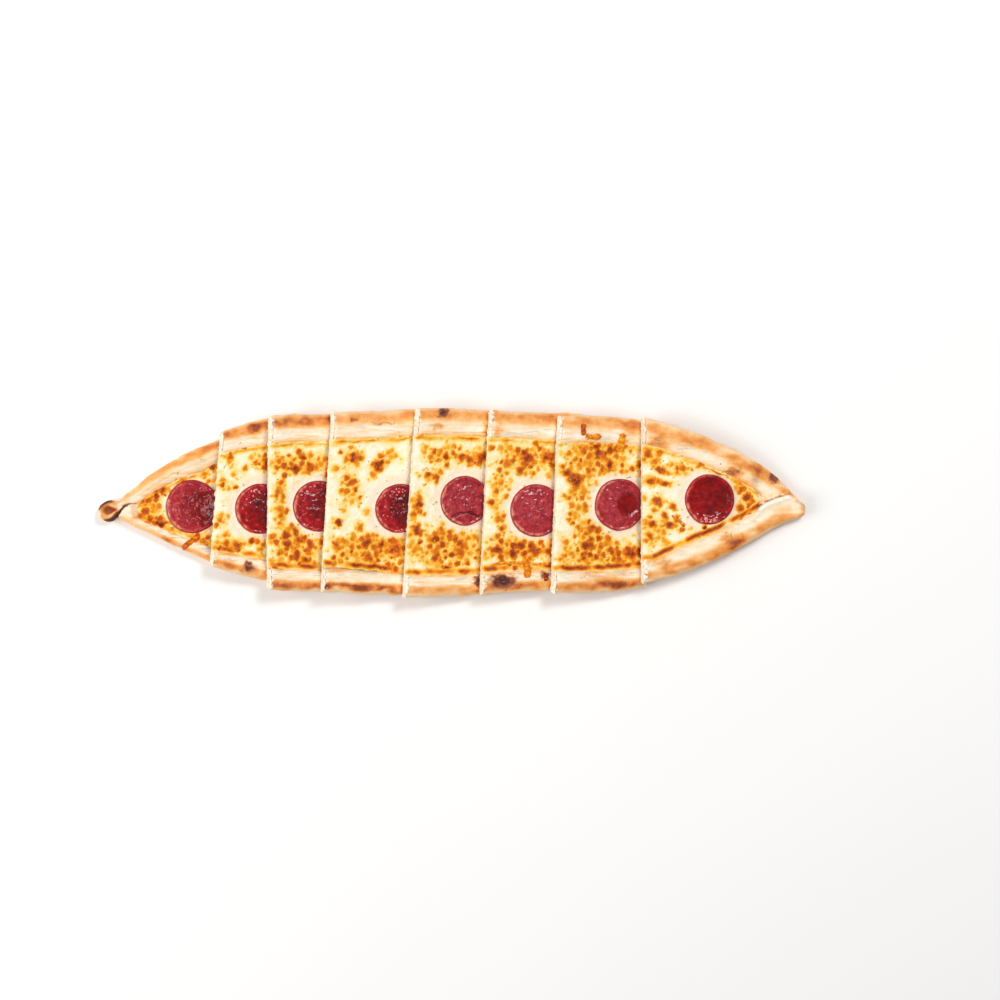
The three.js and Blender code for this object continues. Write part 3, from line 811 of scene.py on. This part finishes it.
def sucuk_relief(piece, look, at, x, y, share):
    """How far a round's top rises, and its greasy pool, its crack and its pits."""
    pool_x, pool_y = look["at"]
    from_pool = np.hypot(x - pool_x, y - pool_y) + 0.06 * piece.noise(at, 5, 2)
    brim = 0.14 if piece.right_tip else 0.3
    pool = look["pool"] * smoothstep(from_pool, (1 + brim) * look["size"], (1 - brim) * look["size"])
    from_crack = y + 0.5 + 0.25 * (x - 0.1) ** 2 - 0.12 * piece.noise(at + 12, 6)
    crack = look["crack"] * hump(from_crack, 0, 0.035) * smoothstep(0.75 - np.abs(x), 0, 0.3)
    pit = 0.35 * pores(at + 60, 2.4, piece.number + 50) * (1 - 0.7 * look["pool"])
    wrinkle = 0.26 * piece.noise(at + 30, 4.2, 2) + 0.08 * piece.noise(at + 90, 1.7, 2)
    wrinkle = wrinkle * (1 - smoothstep(share, 0.85, 1))
    dome = look["dome"] * (1 - share**2.4)
    bead = 0.3 * hump(share, 0.93, 0.05)
    rise = dome + (wrinkle - pit) * (1 - 0.4 * pool) - 0.8 * pool - 0.7 * crack + bead
    return rise, pool, crack, pit


def make_sucuk(piece, material):
    look = PLAIN_ROUND | ROUNDS[piece.number - 1]
    noise = piece.noise
    profile = [(share, 1) for share in np.linspace(0.02, 0.93, SUCUK_RINGS)] + SUCUK_EDGE + SUCUK_UNDERSIDE
    share, level = (np.repeat(column, SUCUK_SIDES) for column in zip(*profile))
    turn = np.tile(np.linspace(0, 2 * pi, SUCUK_SIDES, endpoint=False), len(profile))
    x, y = share * np.cos(turn), share * np.sin(turn)
    at = on_plane(x, y) * piece.radius
    top = smoothstep(level, 0.7, 0.95)
    rise, pool, crack, pit = sucuk_relief(piece, look, at, x, y, share)
    radius = piece.radius * (1 + 0.026 * noise(on_plane(np.cos(turn), np.sin(turn)), 0.8, 2))
    z = SUCUK_BASE + level * SUCUK_THICKNESS + top * rise
    points = np.stack([piece.sucuk[0] + x * radius, piece.sucuk[1] + y * radius, z], 1)

    left = smoothstep(-x - 0.3 * y, -0.5, 0.8)
    casing = hump(share, 0.92, 0.07) * (0.25 + 0.75 * left) * (0.8 + 0.8 * noise(at + 44, 4, 2))
    edge = smoothstep(share, 0.955, 0.985)
    core = smoothstep(np.hypot(x - 0.25, y), 0.95, 0.35)
    tone = 0.54 - 0.42 * look["dark"] * core * (1 - 0.8 * pool) + 0.1 * left - 0.16 * pool
    tone = tone + 0.24 * noise(at + 8, 3, 3) - 0.08 * hump(share, 0.84, 0.05)
    tone = lerp(tone + 0.38 * casing - 0.5 * crack - 0.3 * pit, 0.4 + 0.25 * casing, edge)
    wet = look["wet"] * (1 - 0.75 * casing) + 0.9 * pool + 0.3 * noise(at + 3, 4, 2)
    # Pale lavender specks, strongest in the middle of a round: partly bits of fatty meat, partly painted
    # sheen.
    fat_and_sheen = look["fat_and_sheen"] * top * smoothstep(share, 0.9, 0.2) * (1 - pool)
    looks = dict(tone=np.clip(tone, 0, 1), wet=np.clip(wet, 0, 1) * (1 - 0.6 * edge), pool=pool, fat_and_sheen=fat_and_sheen)
    add_part(piece, "sucuk", points, tube(np.arange(len(points)).reshape(-1, SUCUK_SIDES)), material, **looks)


# --- Crumbs, shreds and herbs ---

# How torn the upper and the lower rim are at each slice's left cut.
TORN = [(0, 0), (0.6, 0.7), (1.5, 0.9), (0.7, 1.2), (1, 1.7), (0.9, 1.1), (1.3, 1.5), (0.8, 2.2)]
CRUMBS = 26  # on a rim's cut, for a tear of 1
HERBS = 0.55  # for each millimetre of the loaf
HERBS_REACH = (44, LOAF_LENGTH - 40)  # the stretch of the loaf that they lie on

# Toasted shreds of cheese: slice, points as (from the left cut, across the loaf), half breadth, toast.
SHREDS = [
    (1, [(67, -21), (63, -25.5), (59, -28.5), (56, -31)], 1.8, 0.62),
    (6, [(27.5, -34), (28, -39), (28.5, -44), (28, -48)], 2.6, 0.5),
    (6, [(2, -40), (12, -38.5), (24, -38.5), (34, -39.5), (45, -39)], 0.9, 0.42),
    (6, [(41.5, -45), (41, -47.5), (41.5, -50)], 1.7, 0.8),
    (7, [(14.8, 51), (14.6, 47), (15.8, 43.5)], 1.9, 0.64),
    (7, [(16.5, 42.8), (22, 42.5), (28, 43)], 1.8, 0.48),
    (7, [(43.4, 45), (42.4, 39.5), (41.4, 33)], 2.5, 0.46),
    (8, [(17.5, -9.5), (22, -12.5), (26, -16.5)], 1.1, 0.52),
]


def top_height(piece, s, y):
    """Height of whatever lies on top: the rims' crust, or the cheese between them."""
    rows_y, rows_top = bread_rows(s)[:2]
    crust = np.array([np.interp(at, ys[::-1], tops[::-1]) for at, ys, tops in zip(y, rows_y, rows_top)])
    upper_edge, lower_edge = cheese_edges(piece, s)
    cheese = np.where((y < upper_edge) & (y > lower_edge), cheese_surface(piece, s, y)[0], 0)
    return np.maximum(crust, cheese)


def lumps(centres, sizes, seed):
    """Vertices and faces of many small uneven lumps."""
    ball = bmesh.new()
    bmesh.ops.create_icosphere(ball, subdivisions=2, radius=1)
    shape = np.array([vertex.co for vertex in ball.verts])
    faces = [[vertex.index for vertex in face.verts] for face in ball.faces]
    ball.free()
    rng = np.random.default_rng(seed)
    noise = Noise(seed)
    vertices, corners = [], []
    for i, (centre, size) in enumerate(zip(centres, sizes)):
        turn = np.linalg.qr(rng.normal(size=(3, 3)))[0]
        rough = shape * (1 + 0.35 * noise(shape + 7 * i, 0.9))[:, None]
        vertices.append((rough * size) @ turn.T + centre)
        corners += [[c + i * len(shape) for c in face] for face in faces]
    return np.concatenate(vertices), corners


def make_crumbs(slices, material):
    """Crumbs that cling to the left cuts of the rims."""
    rng = np.random.default_rng(11)
    centres, sizes = [], []
    for piece in slices[1:]:
        for side, torn in zip((1, -1), TORN[piece.number - 1]):
            s = piece.start + rng.uniform(-0.4, 0.5, round(CRUMBS * torn))
            width = upper_rim(s) if side > 0 else lower_rim(s)
            y = middle_line(s) + side * (half_width(s) - rng.uniform(0.02, 1, len(s)) * width)
            z = rng.uniform(0.3, 1, len(s)) * top_height(piece, s, y)
            centres.append(piece.lay(s, y, z))
            sizes.append(rng.uniform(0.3, 0.75, (len(s), 3)) ** 1.5 * MM * (1.3 + 0.6 * torn))
    vertices, faces = lumps(np.concatenate(centres), np.concatenate(sizes), 12)
    count = len(vertices)
    add_piece("crumbs", vertices, faces, material, "bread", bake=np.zeros(count), crumb=np.ones(count))


def make_shreds(slices, material):
    vertices, faces, toast = [], [], []
    turn = np.linspace(0, 2 * pi, SHRED_SIDES, endpoint=False)
    for number, points, breadth, heat in SHREDS:
        piece = slices[number - 1]
        points = np.array(points, float) + (piece.start, 0)
        steps = np.linspace(0, len(points) - 1, 8 * len(points))
        s, y = (np.interp(steps, range(len(points)), column) for column in points.T)
        heading = np.stack([np.gradient(s), np.gradient(y)], 1)
        heading /= np.linalg.norm(heading, axis=1, keepdims=True)
        end = np.minimum(steps, steps[-1] - steps) / 0.35
        swell = quarter_round(np.clip(end, 0.02, 1))
        swell = (swell * (1 + 0.3 * piece.noise(on_plane(s, y), 2.6, 3)))[:, None]
        across, rise = breadth * np.cos(turn), 0.7 * breadth**0.5 * np.sin(turn)
        ring_s = s[:, None] - heading[:, 1:] * swell * across
        ring_y = y[:, None] + heading[:, :1] * swell * across
        ring_z = top_height(piece, s, y)[:, None] + 0.1 + swell * rise
        ring = np.stack([ring_s, ring_y, ring_z], -1).reshape(-1, 3)
        ring += 0.22 * piece.noise(ring + 4, 1.4, 2)[:, None]
        ring[:, 0] = piece.set_back(*ring.T)
        index = sum(len(v) for v in vertices) + np.arange(len(ring)).reshape(-1, SHRED_SIDES)
        faces += tube(index[::-1])
        vertices.append(piece.in_row(ring))
        toast.append(heat + 0.22 * piece.noise(ring + 8, 1.8, 2))
    toast = np.concatenate(toast)
    add_piece("toasted_shreds", np.concatenate(vertices), faces, material, "cheese", toast=toast)


def make_herbs(slices, material):
    """Dried herbs scattered over the cheese, with a few on the rims."""
    rng = np.random.default_rng(21)
    first, last = HERBS_REACH
    centres, sizes = [], []
    for piece in slices:
        count = round(HERBS * piece.length)
        s = rng.uniform(max(piece.start + 2, first), min(piece.end - 3, last), count)
        y = middle_line(s) + rng.uniform(-0.72, 0.76, count) * half_width(s)
        bare = piece.from_sucuk(s, y) > 1
        s, y = s[bare], y[bare]
        centres.append(piece.lay(s, y, top_height(piece, s, y) + 0.1))
        sizes.append(rng.uniform((0.35, 0.25, 0.15), (1.0, 0.7, 0.35), (len(s), 3)) * MM)
    vertices, faces = lumps(np.concatenate(centres), np.concatenate(sizes), 22)
    add_piece("herbs", vertices, faces, material, "cheese")


# --- Materials ---


def colour(code):
    """A linear colour from six hexadecimal digits."""
    shares = [int(code[i : i + 2], 16) / 255 for i in (0, 2, 4)]
    return [c / 12.92 if c <= 0.04045 else ((c + 0.055) / 1.055) ** 2.4 for c in shares] + [1]


class Shader:
    """A material's node tree, built one node at a time."""

    def __init__(self, name, **settings):
        self.material = bpy.data.materials.new(name)
        self.material.use_nodes = True
        self.tree = self.material.node_tree
        self.surface = self.tree.nodes["Principled BSDF"]
        for socket, value in settings.items():
            self.surface.inputs[socket.replace("_", " ")].default_value = value
        self.place = self.node("ShaderNodeTexCoord").outputs["Object"]

    def node(self, kind, inputs=(), **settings):
        made = self.tree.nodes.new(kind)
        for key, value in settings.items():
            setattr(made, key, value)
        for socket, value in dict(inputs).items():
            if isinstance(value, bpy.types.NodeSocket):
                self.tree.links.new(value, made.inputs[socket])
            else:
                made.inputs[socket].default_value = value
        return made

    def link(self, socket, value):
        self.tree.links.new(value, self.surface.inputs[socket])

    def attribute(self, name):
        return self.node("ShaderNodeAttribute", attribute_name=name).outputs["Fac"]

    def noise(self, size, detail=3, stretch=(1, 1, 1)):
        """Noise with features of about size metres, -0.5 to 0.5."""
        place = self.node("ShaderNodeMapping", {"Vector": self.place, "Scale": stretch}).outputs[0]
        made = self.node("ShaderNodeTexNoise", {"Vector": place, "Scale": 1 / size, "Detail": detail})
        return self.math("SUBTRACT", made.outputs["Fac"], 0.5)

    def dots(self, size):
        """Distance to the nearest of many scattered points, in shares of size metres."""
        made = self.node("ShaderNodeTexVoronoi", {"Vector": self.place, "Scale": 1 / size})
        return made.outputs["Distance"]

    def math(self, operation, a, b, c=0.0):
        return self.node("ShaderNodeMath", {0: a, 1: b, 2: c}, operation=operation).outputs[0]

    def plus(self, base, share, extra):
        """base + share * extra"""
        return self.math("MULTIPLY_ADD", extra, share, base)

    def between(self, value, low, high):
        inputs = {"Value": value, "From Min": low, "From Max": high}
        return self.node("ShaderNodeMapRange", inputs, interpolation_type="SMOOTHSTEP").outputs[0]

    def ramp(self, factor, stops):
        made = self.node("ShaderNodeValToRGB", {"Fac": factor})
        elements = made.color_ramp.elements
        while len(elements) < len(stops):
            elements.new(0.5)
        for element, (position, code) in zip(elements, stops):
            element.position = position
            element.color = colour(code)
        return made.outputs["Color"]

    def mix(self, factor, a, b):
        return self.node("ShaderNodeMix", {0: factor, 6: a, 7: b}, data_type="RGBA").outputs[2]

    def bump(self, height, depth, strength):
        inputs = {"Height": height, "Distance": depth, "Strength": strength}
        self.link("Normal", self.node("ShaderNodeBump", inputs).outputs[0])


# Colours from 0 to 1 of each material's values, as (value, colour).
CRUST_COLOURS = [
    (0, "FFF3E0"), (0.14, "FDE6C8"), (0.28, "FBD2A0"), (0.44, "F6B570"), (0.6, "EC9A4C"), (0.78, "D0743A"),
    (1, "8E4424"),
]
CRUMB_COLOURS = [(0, "FFF3E0"), (0.45, "FBE4C2"), (1, "E6C490")]
CHAR_COLOURS = [(0, "CE8A5C"), (0.35, "96563C"), (0.65, "5E3228"), (0.95, "30201C")]
CHEESE_COLOURS = [
    (0, "FFF4DC"), (0.09, "FEECC0"), (0.18, "FDDF94"), (0.27, "FBC858"), (0.36, "F6AC28"), (0.46, "EA8C10"),
    (0.56, "D46A06"), (0.68, "AC4606"), (0.82, "7C2A08"), (1, "4A1A0C"),
]
DRY_COLOURS = [
    (0, "520A14"), (0.25, "78121C"), (0.5, "9C2630"), (0.72, "B43A42"), (0.88, "C25A4E"), (1, "DA8A68"),
]
WET_COLOURS = [
    (0, "480408"), (0.25, "6A0408"), (0.5, "90060A"), (0.72, "AC1416"), (0.88, "C03A2C"), (1, "D87050"),
]
HERB_COLOURS = [(0.3, "8A7C30"), (0.45, "B4A848"), (0.7, "C8B860")]
FLOOR_COLOURS = [(0, "F7F6F4"), (1, "FBFAF8")]
STREAK_SHADE_AND_TINT = "B9AD90"
FATTY_CHEESE = "FBDCC0"
FAT_SPECK_AND_SHEEN = "C8808A"
SUCUK_PORE = "3C0C10"


def bread_material():
    shader = Shader("baked_bread", Roughness=0.7, Specular_IOR_Level=0.2)
    fine = shader.noise(0.0011, 4)
    broad = shader.noise(0.005, 3, (0.4, 1, 1))
    bake = shader.plus(shader.plus(shader.attribute("bake"), 0.2, fine), 0.22, broad)
    crust = shader.ramp(bake, CRUST_COLOURS)
    # Painted shade: the streaks of the rims' pale band go toward a greyish brown, as does the first slice's
    # tinted flap.
    crust = shader.mix(shader.math("MULTIPLY", shader.attribute("streak_shade_and_tint"), 0.55), crust, colour(STREAK_SHADE_AND_TINT))
    # Painted shade: the crumb is darker and yellower in its open pores.
    crumb = shader.ramp(shader.plus(shader.attribute("hollow"), 0.5, fine), CRUMB_COLOURS)
    surface = shader.mix(shader.attribute("crumb"), crust, crumb)
    # This darkening also carries painted shade from the tips' creases and the knob's hollow.
    char_and_shade = shader.plus(shader.plus(shader.attribute("char_and_shade"), 0.28, fine), 0.12, broad)
    surface = shader.mix(shader.between(char_and_shade, 0.04, 0.42), surface, shader.ramp(char_and_shade, CHAR_COLOURS))
    shader.link("Base Color", surface)
    shader.bump(shader.plus(fine, 0.4, shader.noise(0.0004, 2)), 0.0004, 0.6)
    return shader.material


def cheese_material():
    shader = Shader("melted_cheese", Specular_IOR_Level=0.18)
    fine = shader.noise(0.0009, 4)
    toast = shader.plus(shader.plus(shader.attribute("toast"), 0.15, fine), 0.12, shader.noise(0.0034, 3))
    surface = shader.ramp(toast, CHEESE_COLOURS)
    fatty = shader.math("MULTIPLY", shader.attribute("fatty"), 0.6)
    surface = shader.mix(fatty, surface, colour(FATTY_CHEESE))
    shader.link("Base Color", surface)
    shader.link("Roughness", shader.plus(0.42, -0.2, shader.attribute("toast")))
    shader.bump(shader.plus(fine, 1.6, shader.noise(0.0028, 2)), 0.0005, 0.8)
    return shader.material


def sucuk_material():
    shader = Shader("cooked_sucuk", Coat_Weight=0.5, Coat_Roughness=0.1, Specular_IOR_Level=0.06)
    calm = shader.plus(1.0, -0.7, shader.attribute("pool"))
    grain = shader.math("MULTIPLY", shader.noise(0.0014, 3), calm)
    tone = shader.plus(shader.plus(shader.attribute("tone"), 0.45, grain), 0.25, shader.noise(0.0034, 3))
    dry, wet = shader.ramp(tone, DRY_COLOURS), shader.ramp(tone, WET_COLOURS)
    surface = shader.mix(shader.attribute("wet"), dry, wet)
    # The pale specks are partly painted sheen on the wet meat.
    speck = shader.math("MULTIPLY", shader.between(shader.dots(0.0012), 0.34, 0.12), shader.attribute("fat_and_sheen"))
    surface = shader.mix(shader.math("MULTIPLY", speck, 0.5), surface, colour(FAT_SPECK_AND_SHEEN))
    pore = shader.math("MULTIPLY", shader.between(shader.dots(0.0019), 0.18, 0.06), calm)
    surface = shader.mix(shader.math("MULTIPLY", pore, 0.6), surface, colour(SUCUK_PORE))
    shader.link("Base Color", surface)
    shader.link("Roughness", shader.plus(0.5, -0.2, shader.attribute("pool")))
    shader.bump(grain, 0.00015, 0.8)
    return shader.material


def herb_material():
    shader = Shader("dried_herb", Roughness=0.8)
    tone = shader.math("ADD", shader.noise(0.009, 1), 0.5)
    shader.link("Base Color", shader.ramp(tone, HERB_COLOURS))
    return shader.material


# --- Studio ---

VIEW_WIDTH = 0.64  # what the picture's width covers at the height of the pide
VIEW_CENTRE = (0.0307, 0.0016)
LENS = 85
SENSOR = 36
FLOOR_REACH = 3
WORLD_STRENGTH = 0.35


def add_camera():
    camera = bpy.data.objects.new("camera", bpy.data.cameras.new("camera"))
    camera.data.lens = LENS
    camera.data.sensor_width = SENSOR
    camera.location = (*VIEW_CENTRE, VIEW_WIDTH * LENS / SENSOR)
    bpy.context.scene.collection.objects.link(camera)
    bpy.context.scene.camera = camera


def add_light(name, azimuth, elevation, distance, size, power):
    """A soft square light that looks at the pide from a compass direction, counted from +X towards +Y."""
    data = bpy.data.lights.new(name, "AREA")
    data.size = size
    data.energy = power
    light = bpy.data.objects.new(name, data)
    flat = distance * cos(radians(elevation))
    turn = radians(azimuth)
    light.location = (flat * cos(turn), flat * sin(turn), distance * sin(radians(elevation)))
    light.rotation_euler = (-light.location).to_track_quat("-Z", "Y").to_euler()
    bpy.context.scene.collection.objects.link(light)


def add_floor():
    mesh = bpy.data.meshes.new("floor")
    corners = [(x * FLOOR_REACH, y * FLOOR_REACH, 0) for x, y in ((-1, -1), (1, -1), (1, 1), (-1, 1))]
    mesh.from_pydata(corners, [], [(0, 1, 2, 3)])
    shader = Shader("pale_floor", Roughness=0.9)
    shader.link("Base Color", shader.ramp(shader.noise(0.3, 2), FLOOR_COLOURS))
    mesh.materials.append(shader.material)
    floor = bpy.data.objects.new("floor", mesh)
    bpy.context.scene.collection.objects.link(floor)


def light_studio():
    world = bpy.data.worlds.new("studio")
    world.use_nodes = True
    background = world.node_tree.nodes["Background"].inputs
    background["Color"].default_value = (1, 1, 1, 1)
    background["Strength"].default_value = WORLD_STRENGTH
    bpy.context.scene.world = world
    bpy.context.scene.view_settings.view_transform = "Standard"
    add_light("key", azimuth=50, elevation=58, distance=1.6, size=0.45, power=12)
    add_light("fill", azimuth=190, elevation=38, distance=1.6, size=1.0, power=15)
    add_light("sheen", azimuth=180, elevation=84, distance=1.75, size=0.3, power=2)


add_camera()
light_studio()
add_floor()
bread, cheese, sucuk = bread_material(), cheese_material(), sucuk_material()
slices = make_slices()
for piece in slices:
    make_bread(piece, bread)
    make_cheese(piece, cheese)
    make_sucuk(piece, sucuk)
make_crumbs(slices, bread)
make_shreds(slices, cheese)
make_herbs(slices, herb_material())
